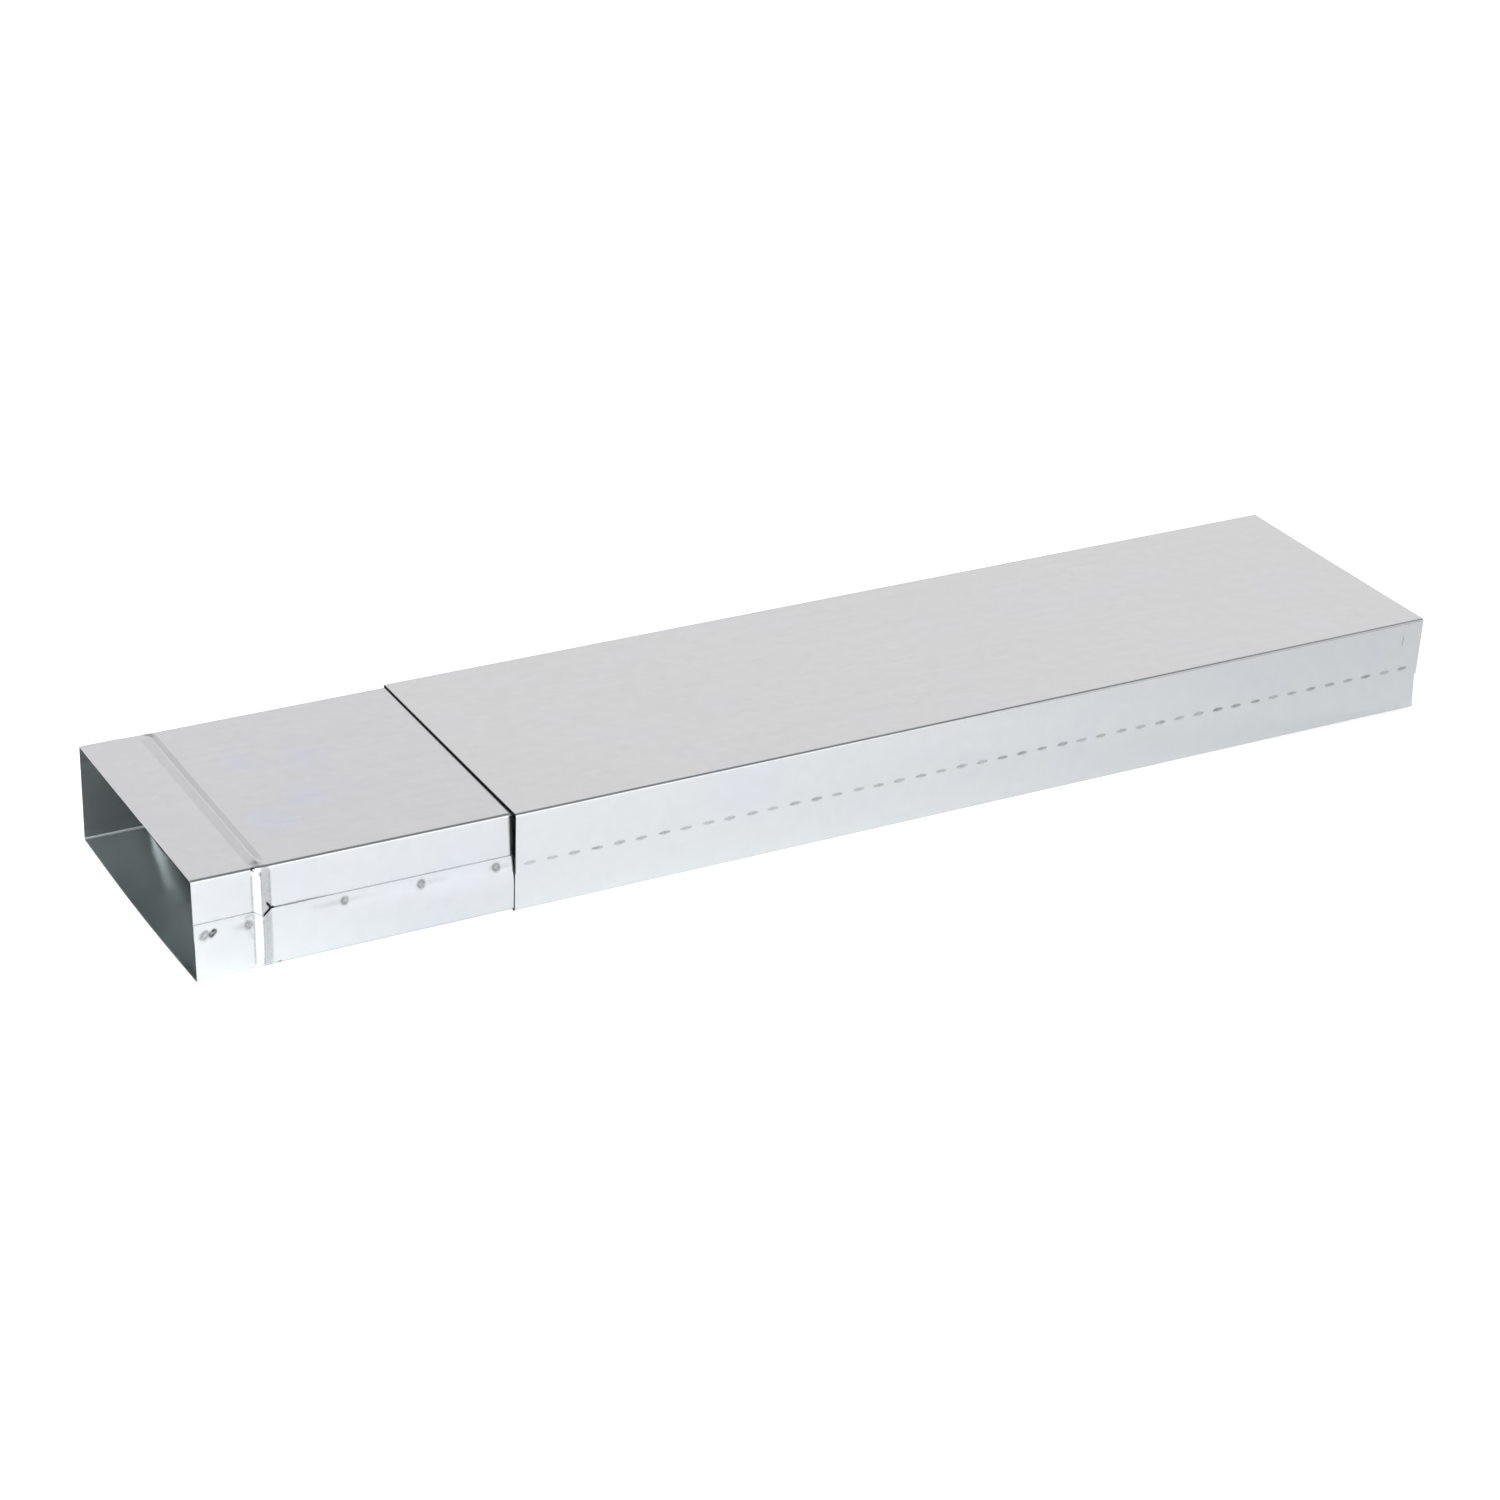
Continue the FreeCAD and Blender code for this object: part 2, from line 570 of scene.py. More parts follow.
    def weld_and_shade_marks(self, x: Array, line: FoldedLine) -> tuple[Array, Array]:
        """Lay the strokes on the welded side.

        Args:
            x: places along the duct.
            line: the folded line.

        Returns:
            The marks' darkness and their dents, a row for each x.
        """
        on_side = np.where(line.on_welded_side() & ~self.covered(line), 1.0, 0.0)
        marks, dents = np.zeros((2, len(x), len(line.y)))
        for stroke in self.strokes:
            there = on_side if stroke.wall is None else on_side * line.on(stroke.wall)
            cover = stroke.cover(x[:, None], line.z[None, :]) * there
            marks = np.maximum(marks, stroke.darkness * cover)
            dents = np.maximum(dents, stroke.dent * cover)
        return marks, dents

    def shell(
        self, line: FoldedLine, outside: Array, inside: Array, mark: Array
    ) -> bpy.types.Object:
        """Close the two faces of the sheet to one shell and make it an object.

        Each row of the grid is a ring: out along the outside face and back along the inside one.
        Rings join to quads, and the first and last are closed by strips across the thickness.

        Args:
            line: the folded line.
            outside: places of the outside face, rows along the duct, columns along the line.
            inside: places of the inside face.
            mark: darkness of the marks on the outside face.

        Returns:
            The channel's object, dressed.
        """
        rows, columns = outside.shape[:2]
        ring = np.concatenate([outside, inside[:, ::-1]], axis=1)
        index = np.arange(rows * 2 * columns).reshape(rows, 2 * columns)
        beside = np.roll(index, -1, axis=1)
        skin = np.stack([index[:-1], index[1:], beside[1:], beside[:-1]], axis=-1).reshape(-1, 4)
        front, back = index[:, :columns], index[:, : columns - 1 : -1]
        first = np.stack([front[0, :-1], front[0, 1:], back[0, 1:], back[0, :-1]], axis=-1)
        last = np.stack([front[-1, :-1], back[-1, :-1], back[-1, 1:], front[-1, 1:]], axis=-1)
        faces = np.concatenate([skin, first, last])
        sheet_then_edge = np.array([0, 1], np.int32)
        finishes = np.repeat(sheet_then_edge, [len(skin), len(first) + len(last)])

        mesh = bpy.data.meshes.new(f"{self.node}_sheet")
        mesh.vertices.add(rows * 2 * columns)
        mesh.vertices.foreach_set("co", (ring * MM).astype(np.float32).ravel())
        mesh.loops.add(faces.size)
        mesh.loops.foreach_set("vertex_index", faces.astype(np.int32).ravel())
        mesh.polygons.add(len(faces))
        mesh.polygons.foreach_set("loop_start", np.arange(0, faces.size, 4, dtype=np.int32))
        mesh.polygons.foreach_set("material_index", finishes)
        plain = np.zeros_like(mark)
        at_folds = np.broadcast_to(line.wall == ON_FOLD, mark.shape)[:, ::-1]
        for name, sides in ((MARK, (mark, plain)), (CRUSHED, (plain, at_folds))):
            values = np.concatenate(sides, axis=1).astype(np.float32)
            attribute = mesh.attributes.new(name, "FLOAT", "POINT")
            attribute.data.foreach_set("value", values.ravel())
        mesh.update(calc_edges=True)
        mesh.validate()
        mesh.shade_smooth()
        mesh.set_sharp_from_angle(angle=math.radians(SHARP_DEGREES))
        return self.dress(mesh)

    def dress(self, mesh: bpy.types.Mesh) -> bpy.types.Object:
        """Give the sheet its finishes, and let it ride on its body in its node's place.

        Args:
            mesh: the closed shell.

        Returns:
            The channel's object.
        """
        mesh.materials.append(self.finish.material())
        mesh.materials.append(self.cut_edge.material())
        piece = bpy.data.objects.new(f"{self.node}_folded_sheet", mesh)
        bpy.context.scene.collection.objects.link(piece)
        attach(piece, self.body)
        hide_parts(self.node)
        LOG.info("%s: %d faces, riding on %s", piece.name, len(mesh.polygons), self.body)
        return piece

    def faces(
        self, x: Array, line: FoldedLine, outward: Array, inward: Array
    ) -> tuple[Array, Array]:
        """Place both faces of the sheet, each moved along the line's outward direction.

        Args:
            x: places along the duct.
            line: the folded line.
            outward: how far the outside face stands off the line, a row for each x.
            inward: how far the inside face stands off its own line, one sheet further in.

        Returns:
            Places of the outside face and of the inside face.
        """
        both = []
        for offset in (outward, inward - self.sheet):
            y, z = line.y + line.out_y * offset, line.z + line.out_z * offset
            both.append(np.stack([np.broadcast_to(x[:, None], y.shape), y, z], axis=-1))
        return both[0], both[1]


@dataclass
class OuterChannel(Channel):
    """The outer channel: upper flange outside, and a row of short roll-weld marks along the lap."""

    node: str = "outer_channel"
    body: str = "outer"
    slot: str = "galvanised_outer"
    finish: GalvanisedSheet = GalvanisedSheet("galvanised_sheet_outer")
    # Dark sheared edge: painted shade for the gap at the mouth.
    cut_edge: ShearedEdge = ShearedEdge("sheared_steel_painted_shade_outer")
    outside_flange: Wall = Wall.UPPER_FLANGE
    seed: int = 11
    dash_count: int = 44
    first_dash: float = 6.94
    dash_pitch: float = 11.687
    dash_z: float = 24.7
    dash_length: float = 6.9
    dash_width: float = 1.9
    dash_dent: float = 0.12
    dash_darkness: float = 0.5
    dash_stray: float = 0.15
    dash_vary: float = 0.12
    scratch: tuple[Point, Point] = ((326.6, 43.0), (326.4, 39.0))
    upper_set_back: float = 0.8
    lower_set_back: float = 1.7
    lower_even_share: float = 0.2
    set_back_reach: float = 20.0

    def end_cut(self, x: Array, line: FoldedLine) -> Array:
        """Set the flanges back at the open end, where the sheet wasn't cut square.

        The upper flange's end leans back evenly from the top to its free edge, and the lower
        flange's from the base, where a share of it is set back already, to its own. The shift
        fades out along the duct.

        Args:
            x: places along the duct.
            line: the folded line.

        Returns:
            How far each place is set back, a row for each x.
        """
        middle = (self.base_z + self.top_z) / 2
        upper = self.upper_set_back * (self.top_z - line.z) / middle
        even = self.lower_even_share
        lower = self.lower_set_back * (even + (1 - even) * (line.z - self.base_z) / middle)
        flanges = [line.on(Wall.UPPER_FLANGE), line.on(Wall.LOWER_FLANGE)]
        back = np.select(flanges, [upper, lower], 0.0)
        return smooth(x, self.end_x - self.set_back_reach, self.end_x)[:, None] * back

    def dashes(self) -> list[Stroke]:
        """Make the weld marks, each a little different in place, slant, width and darkness.

        Returns:
            The marks, from the mouth to the open end.
        """
        stray, vary = self.dash_stray, self.dash_vary
        radius = self.dash_width / 2
        half = self.dash_length / 2 - radius
        middles = self.start_x + self.first_dash + self.dash_pitch * np.arange(self.dash_count)
        chance = self.random.uniform(-1, 1, (self.dash_count, 4))
        return [
            Stroke(
                (x - half * (1 + stray * back), self.dash_z + stray * up),
                (x + half * (1 - stray * back), self.dash_z + stray * up + vary * slant),
                radius * (1 + vary * slant),
                self.dash_darkness + vary * darker,
                dent=self.dash_dent,
                softness=0.6,
                taper=0.45,
            )
            for x, (back, up, slant, darker) in zip(middles, chance)
        ]

    def build(self) -> bpy.types.Object:
        """Build the outer channel.

        Returns:
            Its object.
        """
        dashes = self.dashes()
        self.strokes = [*dashes, Stroke(*self.scratch, radius=0.35, darkness=0.45, dent=0.05)]
        middles = np.array([(dash.start[0] + dash.end[0]) / 2 for dash in dashes])
        # Lines over each mark, closest where its ends fade.
        around = np.array([-3.4, -3.0, -2.6, -2.2, -1.2, 0, 1.2, 2.2, 2.6, 3.0, 3.4])
        across_scratch = self.scratch[0][0] + np.linspace(-0.8, 0.8, 7)
        x = self.lines_along((middles[:, None] + around).ravel(), across_scratch)
        weld_band = self.weld_z + np.linspace(-1.6, 1.8, 12)
        scratch_band = np.linspace(38, 44, 7)
        beside_edge = np.array([19.6, 20.6])
        at_folds = np.array(self.edge_lines)
        line = self.fold(at_folds, np.concatenate([weld_band, scratch_band]), beside_edge)
        waves = self.waves(x, line)
        mark, dents = self.weld_and_shade_marks(x, line)
        outside, inside = self.faces(x, line, waves - dents, waves)
        for face in (outside, inside):
            face[..., 0] -= self.end_cut(x, line)
        return self.shell(line, outside, inside, mark)


@dataclass(frozen=True)
class CornerShift:
    """How far (y, z) a corner of the channel is out of square.

    `mouth` holds all along, `outwards` grows evenly from the outer channel's mouth to the rim,
    and `flare` grows over the spigot alone.
    """

    mouth: Point
    outwards: Point
    flare: Point

    def at(self, outwards: Array, flare: Array) -> tuple[Array, Array]:
        """Add the three shifts up at each place along the duct."""
        y, z = (
            at_mouth + growing * outwards + spread * flare
            for at_mouth, growing, spread in zip(self.mouth, self.outwards, self.flare)
        )
        return y[:, None], z[:, None]


@dataclass
class InnerChannel(Channel):
    """The inner channel: lower flange outside, single spot welds, and a bead behind its spigot."""

    node: str = "inner_channel"
    body: str = "inner"
    slot: str = "galvanised_inner"
    finish: GalvanisedSheet = GalvanisedSheet(
        "galvanised_sheet_inner",
        zinc="c0c5c6",
        stains=(
            (-247.0, 22.0, 20.0),
            (-278.0, 32.0, 17.0),
            (-257.0, -17.0, 21.0),
            (-281.0, -30.0, 22.0),
        ),
    )
    # Paler greys for the inner channel's edge: a painted highlight along its rim.
    cut_edge: ShearedEdge = ShearedEdge("sheared_steel_painted_highlight_inner", steel="b4b7b9", dull="8d9092")
    outside_flange: Wall = Wall.LOWER_FLANGE
    seed: int = 23
    proud: float = 1.1
    lap_peep: float = 3.5
    step_along: float = 18.0
    step_across: float = 16.0
    bead_setback: float = 33.5
    bead_width: float = 9.3
    bead_radius: float = 2.0
    bead_at_fold: float = 0.3
    bead_full_from_fold: float = 4.5
    bead_on_top: float = 0.85
    bead_on_far_side: float = 0.95
    bead_on_base: float = 0.62
    belly: float = 0.55
    draw_in: float = 1.6
    draw_in_reach: float = 60.0
    rim_bow: float = 1.0
    exposed_length: float = 157.0
    spot_radius: float = 2.0
    spot_pitch: float = 37.6
    first_even_spot: float = 73.0
    lap_notch: float = 2.6
    notch_from_z: float = 22.0
    notch_full_z: float = 29.0
    bend_from_z: float = 14.0
    bend_past_lap: float = 2.0
    bend_at_lap: float = 0.65
    near_share: float = 0.25
    near_top: CornerShift = CornerShift((1.9, -0.3), (0.1, 0.5), (0.0, 0.0))
    near_base: CornerShift = CornerShift((-0.4, -0.15), (0.0, -0.25), (-0.9, -0.1))
    far_top: CornerShift = CornerShift((0.0, 0.1), (0.05, 0.05), (0.4, 0.3))
    far_base: CornerShift = CornerShift((-1.0, -0.1), (0.5, -0.2), (0.0, -0.1))

    def bead(self, x: Array, depth: float) -> Array:
        """Give the height of the bead's line at a depth under the outside face.

        Two foot arcs and a crest arc, joined by straight flanks in tangents. On a foot of radius r
        the height is r - sqrt(r^2 - u^2), u from the foot's end, and on the crest of radius c it
        is top - c + sqrt(c^2 - v^2), v from the middle. A flank rises evenly between them.

        Args:
            x: places along the duct.
            depth: 0 for the outside face, one sheet for the inside face.

        Returns:
            Heights off the flat wall.
        """
        half, rise = self.bead_width / 2, 2 * self.bead_radius - self.proud
        slope = math.atan2(half, rise) - math.acos(2 * self.bead_radius / math.hypot(half, rise))
        foot, crest = self.bead_radius + depth, self.bead_radius - depth
        off_crest = np.abs(x - self.start_x - self.bead_setback)
        off_foot = np.clip(half - off_crest, 0, None)
        foot_end, crest_end = foot * math.sin(slope), crest * math.sin(slope)
        on_foot = foot - np.sqrt(np.clip(foot**2 - np.minimum(off_foot, foot_end) ** 2, 0, None))
        up_flank = np.minimum(off_foot, half - crest_end) - foot_end
        on_flank = np.clip(up_flank, 0, None) * math.tan(slope)
        inner_v = np.minimum(off_crest, crest_end)
        on_crest = np.sqrt(crest**2 - inner_v**2) - crest * math.cos(slope)
        return on_foot + on_flank + on_crest

    def bead_share(self, line: FoldedLine) -> Array:
        """Say how much of the bead's height each place of the line has.

        The rolls reached the walls unequally, so each wall has its own share. Towards the folds
        the bead sinks by a smooth step to a small part of that.

        Args:
            line: the folded line.

        Returns:
            Shares from 0 to 1.
        """
        shares = {
            Wall.TOP: self.bead_on_top,
            Wall.FAR_SIDE: self.bead_on_far_side,
            Wall.BASE: self.bead_on_base,
        }
        share = np.where(line.on_welded_side(), 1.0, min(shares.values()))
        for wall, height in shares.items():
            share = np.where(line.on(wall), height, share)
        rise = smooth(line.from_fold, 0, self.bead_full_from_fold)
        return (self.bead_at_fold + (1 - self.bead_at_fold) * rise) * share

    def flare(self, x: Array) -> Array:
        """Say how far a place lies out on the spigot: 0 from the bead inwards, 1 at the rim."""
        bead_end = self.start_x + self.bead_setback + self.bead_width / 2
        return smooth(bead_end - x, 0, self.bead_setback)

    def across(self, y: Array) -> Array:
        """Give the parabola 4p(1 - p) across the duct: 0 at the two sides, 1 in the middle."""
        p = np.clip((y - self.near_y) / (self.far_y - self.near_y), 0, 1)
        return 4 * p * (1 - p)

    def bellied(self, x: Array, line: FoldedLine) -> Array:
        """Bend the base: the rolled bead draws it in, and it bellies out towards the rim.

        Across the duct the bend follows a parabola that is 0 at the two sides. Along it, the
        drawing in fades to both sides of the bead, and the belly grows from the bead to the rim.

        Args:
            x: places along the duct.
            line: the folded line.

        Returns:
            Heights outwards, a row for each x.
        """
        wide = np.where(line.on(Wall.BASE), self.across(line.y), 0)
        off_bead = x - self.start_x - self.bead_setback
        reach = np.where(off_bead < 0, self.bead_setback, self.draw_in_reach)
        drawn = 1 - smooth(np.abs(off_bead), 0, reach)
        return (self.belly * self.flare(x) - self.draw_in * drawn)[:, None] * wide

    def rim_line(self, x: Array, face: Array) -> Array:
        """Set the rim back where its sheared line isn't straight.

        The base reaches furthest out in its middle, by a parabola, and the top and the corners are
        set back by the bow. The shift fades out along the spigot.

        Args:
            x: places along the duct.
            face: places of a face.

        Returns:
            Shifts along the duct.
        """
        low = 1 - np.clip((face[..., 2] - self.base_z) / self.fold_radius, 0, 1)
        return self.rim_bow * self.flare(x)[:, None] * (1 - low * self.across(face[..., 1]))

    def spot_welds(self) -> list[Stroke]:
        """List the spot welds: two together at the rim, one beside the bead, then an even row.

        Returns:
            The welds from the rim inwards, with two smears beside the third.
        """
        rim, z, r = self.start_x, self.weld_z, self.spot_radius
        crisp = {"dent": 0.12, "softness": 0.4}
        welds = [
            Stroke((rim + 4.4, z - 1.6), (rim + 5.2, z - 0.9), r, 0.75, hollow=0.45, **crisp),
            Stroke((rim + 8.0, z - 1.5), (rim + 9.3, z - 0.3), r * 0.7, 1.15, hollow=0.2, **crisp),
            Stroke((rim + 26.2, z - 0.9), (rim + 26.5, z - 1.1), r * 1.1, 0.68, 0.1, hollow=0.25),
            Stroke((rim + 26.6, z - 3.0), (rim + 28.0, z - 7.0), r * 0.5, 0.2, softness=0.9),
            Stroke((rim + 25.6, z + 3.0), (rim + 29.2, z + 3.7), r * 0.4, 0.35, softness=0.9),
        ]
        row = np.arange(rim + self.first_even_spot, self.end_x - r, self.spot_pitch)
        chance = self.random.uniform(-1, 1, (len(row), 3))
        return welds + [
            Stroke(
                (x, z + 0.2 + 0.3 * up),
                (x + 0.4 * side, z + 0.5),
                r,
                0.82 + 0.08 * darker,
                dent=0.14,
                hollow=0.4,
            )
            for x, (up, side, darker) in zip(row, chance)
        ]

    def bead_dents_and_painted_shade(self) -> list[Stroke]:
        """List the pinch dents where the bead runs into the top and base folds, and painted shade:
        dark spots in the pinches and in the gap that the notch opens in the lap, and dark lines in
        the bead's bends, along the lower fold and along the lap beside the bead.

        Returns:
            The marks. The painted shade in the lap's gap and along the lap lies on the tucked
            flange alone.
        """
        crest = self.start_x + self.bead_setback
        tucked = Wall.UPPER_FLANGE
        # Pinch dents with painted shade in them, and painted shade in the gap that the notch opens
        # in the lap.
        pinches_and_painted_shade = [
            Stroke((crest - 3.9, 49.8), (crest - 3.3, 49.4), 0.75, 1.3, dent=0.2, softness=0.4),
            Stroke((crest + 6.6, 1.7), (crest + 7.5, 2.0), 0.6, 1.0, dent=0.1),
            Stroke((crest + 2.4, 32.2), (crest + 4.8, 28.6), 0.55, 1.6, softness=0.4, wall=tucked),
            Stroke((crest + 4.8, 28.8), (crest + 1.4, 26.8), 1.2, 1.8, softness=0.4, wall=tucked),
        ]
        # Painted shade: dark lines in the bead's bends, along the lower fold, and along the lap
        # beside the bead.
        painted_shade_lines = [
            Stroke((crest - 4.4, 4.0), (crest - 4.4, 46.5), 0.5, 0.5, softness=0.8),
            Stroke((crest - 0.1, 3.0), (crest - 0.1, 47.5), 0.45, 0.55, softness=0.8),
            Stroke((crest + 2.4, 2.0), (crest + 2.4, 48.5), 1.9, 0.28, softness=0.4),
            Stroke((crest + 8.0, 1.6), (crest + 122.0, 1.6), 0.4, 0.2, softness=0.9),
            Stroke((crest + 4.2, 30.0), (crest + 4.2, 47.5), 0.5, 0.5, softness=0.9),
            Stroke((crest + 5.0, 29.3), (crest + 28.0, 29.3), 0.4, 0.6, softness=0.7, wall=tucked),
        ]
        return pinches_and_painted_shade + painted_shade_lines

    def out_of_square(self, x: Array, faces: Array) -> Array:
        """Rack the section: the thin, hand-fitted channel leans, and its spigot spreads a little.

        Each corner has its own shift, and a place between them takes a mixture by its distance
        from the four. On the near side, from the mouth inwards, most of the change comes around
        the lap. It evens out towards the rim, and away from the near side.

        Args:
            x: places along the duct.
            faces: places of a face, moved in y and z.

        Returns:
            The moved places.
        """
        mouth_x = self.start_x + self.exposed_length
        outwards = np.clip((mouth_x - x) / self.exposed_length, 0, 1)
        flare = self.flare(x)
        y, z = faces[..., 1], faces[..., 2]
        far = np.clip((y - self.near_y) / (self.far_y - self.near_y), 0, 1)
        even = np.clip((z - self.base_z) / (self.top_z - self.base_z), 0, 1)
        lap_top = self.weld_z + self.lap_width / 2 + self.bend_past_lap
        above = np.clip((z - lap_top) / (self.top_z - lap_top), 0, 1)
        below = smooth(z, self.bend_from_z, lap_top)
        bent = self.bend_at_lap * below + (1 - self.bend_at_lap) * above
        near_up = bent + (even - bent) * outwards[:, None]
        up = near_up + (even - near_up) * np.minimum(far / self.near_share, 1)
        weights = (
            (self.near_top, (1 - far) * up),
            (self.near_base, (1 - far) * (1 - up)),
            (self.far_top, far * up),
            (self.far_base, far * (1 - up)),
        )
        moved = faces.copy()
        for shift, weight in weights:
            shift_y, shift_z = shift.at(outwards, flare)
            moved[..., 1] += weight * shift_y
            moved[..., 2] += weight * shift_z
        return moved

    def build(self) -> bpy.types.Object:
        """Build the inner channel.

        Returns:
            Its object.
        """
        self.strokes = self.spot_welds() + self.bead_dents_and_painted_shade()
        crest = self.start_x + self.bead_setback
        spots = np.array([(stroke.start[0] + stroke.end[0]) / 2 for stroke in self.strokes])
        x = self.lines_along(
            (spots[:, None] + np.linspace(-2.4, 2.4, 11)).ravel(),
            crest + np.linspace(-self.bead_width / 2 - 0.6, self.bead_width / 2 + 0.6, 36),
            grid=0.2,
        )
        at_folds = np.array([*self.edge_lines, 2.2, 3.4, 5.0, 7.0, 9.5])
        tear_band = np.linspace(25.6, 34.0, 22)
        smear_band = np.arange(16.0, 22.0, 1.0)
        weld_band = np.linspace(self.notch_from_z, self.notch_full_z, 20)
        line = self.fold(at_folds, tear_band, np.concatenate([smear_band, weld_band]))
        share = self.bead_share(line)
        outer_bead = self.bead(x, 0)[:, None] * share
        inner_bead = self.bead(x, self.sheet)[:, None] * share
        bends = self.waves(x, line) + self.bellied(x, line)
        mark, dents = self.weld_and_shade_marks(x, line)
        outside, inside = self.faces(x, line, outer_bead + bends - dents, inner_bead + bends)
        # The bead drags the outside flange's free edge down to a notch.
        notch = self.lap_notch * self.bead(x, 0) / self.proud
        edge = smooth(line.z, self.notch_from_z, self.notch_full_z)
        edge = np.where(line.on(Wall.LOWER_FLANGE), edge, 0)
        for face in (outside, inside):
            face[..., 2] -= notch[:, None] * edge
            face[..., 0] += self.rim_line(x, face)
        outside, inside = self.out_of_square(x, outside), self.out_of_square(x, inside)
        return self.shell(line, outside, inside, mark)


@dataclass(frozen=True)
class Softbox:
    """A softbox with a grid: a rectangle of light, in metres, that faces a point."""

    name: str
    place: Place
    faces: Place
    size: Point
    watts: float
    tint: str
    spread_degrees: float

    def light(self) -> bpy.types.Object:
        """Hang the softbox in its place.

        Returns:
            The lamp's object.
        """
        lamp = bpy.data.lights.new(self.name, "AREA")
        lamp.shape = "RECTANGLE"
        lamp.size, lamp.size_y = self.size
        lamp.energy = self.watts
        lamp.spread = math.radians(self.spread_degrees)
        lamp.color = linear(self.tint)[:3]
        box = bpy.data.objects.new(self.name, lamp)
        box.location = self.place
        aim = Vector(self.faces) - Vector(self.place)
        box.rotation_euler = aim.to_track_quat("-Z", "Y").to_euler()
        bpy.context.scene.collection.objects.link(box)
        return box


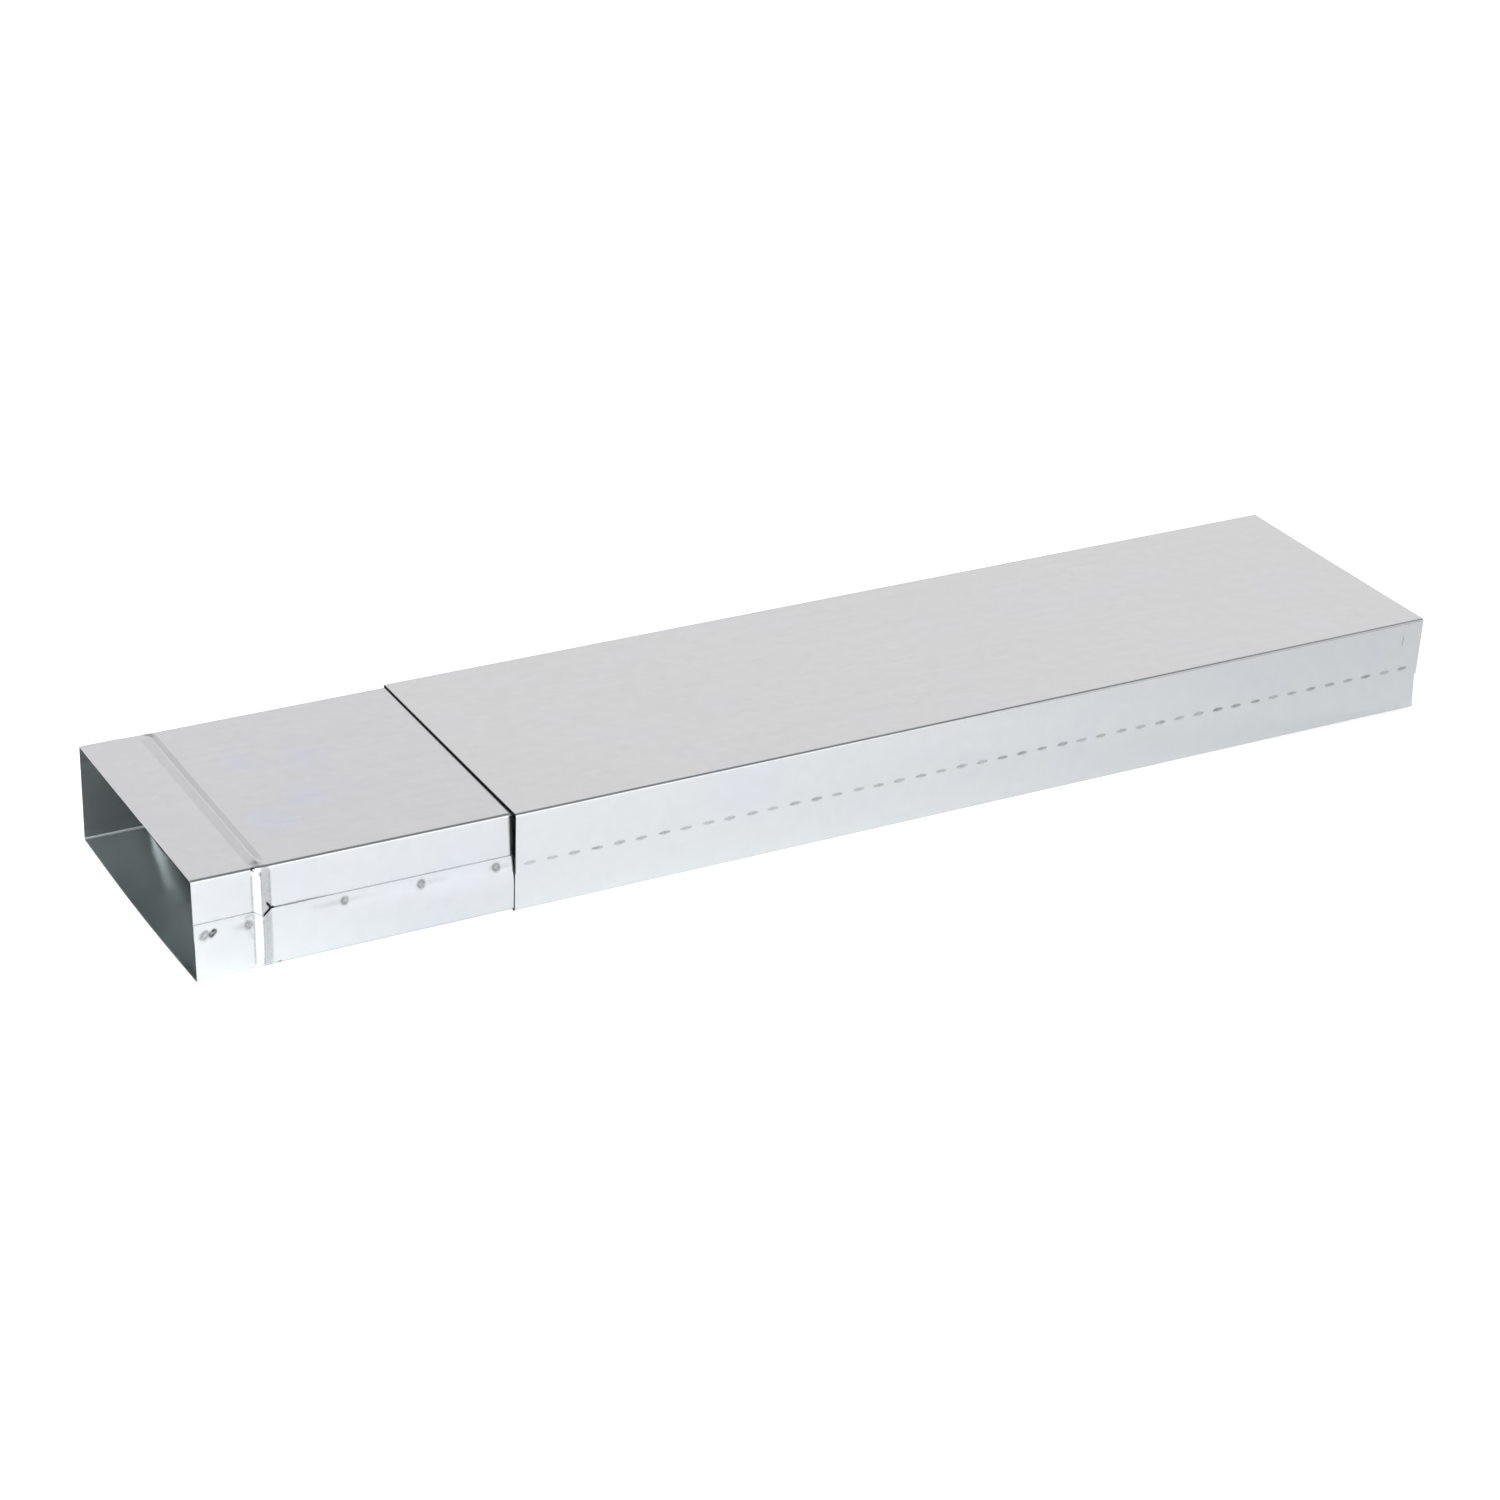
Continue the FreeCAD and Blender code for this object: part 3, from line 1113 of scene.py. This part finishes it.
@dataclass
class Studio:
    """A glowing white table in a bright room with a dark ceiling, four softboxes, and the camera.

    The front softbox lights the table, which the welded side mirrors. The low left one shines into
    the spigot, the front right one draws a thin highlight along the near fold of the top, and the
    far right one shines into the socket.
    """

    camera_place: Place = (-0.82733, -1.43296, 0.84334)
    camera_target: Place = (-0.02749, -0.01807, 0.0256)
    camera_roll_degrees: float = 2.183
    lens_mm: float = 88.977
    sensor_mm: float = 36.0
    floor_radius: float = 12.0
    floor_sides: int = 64
    floor_sheet: str = "f3f3f3"
    floor_roughness: float = 0.4
    acrylic_ior: float = 1.49
    floor_glow: float = 0.42
    floor_light: str = "fcfbff"
    walls: str = "fff8f9"
    low_walls: str = "a5a0a1"
    left_walls: str = "f4f4f3"
    left_share: float = 0.7
    left_from: float = -0.3
    left_full: float = -0.85
    walls_strength: float = 1.2
    walls_from: float = 0.14
    walls_full: float = 0.37
    ceiling: str = "8a8d92"
    ceiling_from: float = 0.465
    ceiling_full: float = 0.88
    softboxes: tuple[Softbox, ...] = (
        Softbox(
            "front",
            place=(-0.2, -1.75, 0.95),
            faces=(-0.15, -0.12, 0.0),
            size=(0.6, 0.5),
            watts=1.02,
            tint="fdfaff",
            spread_degrees=28.0,
        ),
        Softbox(
            "low_left",
            place=(-1.02, -1.5, 0.17),
            faces=(-0.39, 0.1, 0.05),
            size=(0.12, 0.2),
            watts=1.35,
            tint="f8fdfa",
            spread_degrees=13.0,
        ),
        Softbox(
            "front_right",
            place=(0.5, -1.7, 0.42),
            faces=(-0.15, -0.07, 0.05),
            size=(0.9, 0.6),
            watts=0.18,
            tint="fdfcff",
            spread_degrees=40.0,
        ),
        Softbox(
            "far_right",
            place=(1.6, 0.25, 0.07),
            faces=(0.34, 0.04, 0.03),
            size=(0.12, 0.08),
            watts=0.6,
            tint="fdfcff",
            spread_degrees=14.0,
        ),
    )

    def floor(self) -> bpy.types.Object:
        """Lay the floor: a disc, (r cos t, r sin t, 0), of white acrylic sheet lit from below.

        Returns:
            The floor's object.
        """
        turns = np.linspace(0, 2 * math.pi, self.floor_sides, endpoint=False)
        rim = np.stack([np.cos(turns), np.sin(turns), np.zeros_like(turns)], axis=-1)
        mesh = bpy.data.meshes.new("floor")
        mesh.from_pydata((rim * self.floor_radius).tolist(), [], [list(range(len(turns)))])
        # To the eye, a plain white ground without a horizon.
        material = bpy.data.materials.new("white_acrylic_light_table")
        add = node_adder(material)
        shader = add(
            "BsdfPrincipled",
            {
                "Base Color": linear(self.floor_sheet),
                "Roughness": self.floor_roughness,
                "IOR": self.acrylic_ior,
                "Emission Color": linear(self.floor_light),
                "Emission Strength": self.floor_glow,
            },
        )
        add("OutputMaterial", {"Surface": shader})
        mesh.materials.append(material)
        floor = bpy.data.objects.new("floor", mesh)
        bpy.context.scene.collection.objects.link(floor)
        return floor

    def room(self) -> bpy.types.World:
        """Light the room: walls that are brightest half-way up, and a dark ceiling.

        The colour depends on the height of a direction, the sine of its elevation: it goes from
        the low walls to the walls and on to the ceiling, each time by a smooth step. The left of
        the room has one paint from floor to ceiling, and is dimmer.

        Returns:
            The world with the room's light.
        """
        world = bpy.data.worlds.new("bright_room")
        add = node_adder(world)
        compass = add("SeparateXYZ", {0: add("TexCoord").outputs["Generated"]})
        height = compass.outputs["Z"]
        leftness = add(
            "MapRange",
            {"Value": compass.outputs["X"], 1: self.left_from, 2: self.left_full},
            interpolation_type="SMOOTHSTEP",
        )
        strength = self.walls_strength
        brightness = add(
            "MapRange", {"Value": leftness, 3: strength, 4: strength * self.left_share}
        )
        colour = linear(self.low_walls)
        steps = (
            (self.walls_from, self.walls_full, self.walls),
            (self.ceiling_from, self.ceiling_full, self.ceiling),
        )
        for low, high, paint in steps:
            part = add(
                "MapRange", {"Value": height, 1: low, 2: high}, interpolation_type="SMOOTHSTEP"
            )
            mixed = add("Mix", {0: part, 6: colour, 7: linear(paint)}, data_type="RGBA")
            colour = mixed.outputs[2]
        tinted = add("Mix", {0: leftness, 6: colour, 7: linear(self.left_walls)}, data_type="RGBA")
        glow = add("Background", {"Color": tinted.outputs[2], "Strength": brightness})
        add("OutputWorld", {"Surface": glow})
        bpy.context.scene.world = world
        return world

    def camera(self) -> bpy.types.Object:
        """Set the camera up where the photograph was taken from.

        Returns:
            The camera's object, made the scene's own.
        """
        optics = bpy.data.cameras.new("camera")
        optics.lens, optics.sensor_width = self.lens_mm, self.sensor_mm
        camera = bpy.data.objects.new("camera", optics)
        place = Vector(self.camera_place)
        level = (Vector(self.camera_target) - place).to_track_quat("-Z", "Y")
        roll = Quaternion((0, 0, 1), math.radians(self.camera_roll_degrees))
        camera.location = place
        camera.rotation_mode = "QUATERNION"
        camera.rotation_quaternion = level @ roll
        bpy.context.scene.collection.objects.link(camera)
        bpy.context.scene.camera = camera
        return camera

    def build(self) -> None:
        """Set up the floor, the room, the softboxes and the camera."""
        self.floor()
        self.room()
        for softbox in self.softboxes:
            softbox.light()
        self.camera()
        bpy.context.scene.view_settings.view_transform = "Standard"
        LOG.info("studio: %d softboxes", len(self.softboxes))


def main() -> None:
    """Build the two channels and the studio."""
    logging.basicConfig(level=logging.INFO, format="%(name)s: %(message)s")
    OuterChannel().build()
    InnerChannel().build()
    Studio().build()


if __name__ == "__main__":
    main()
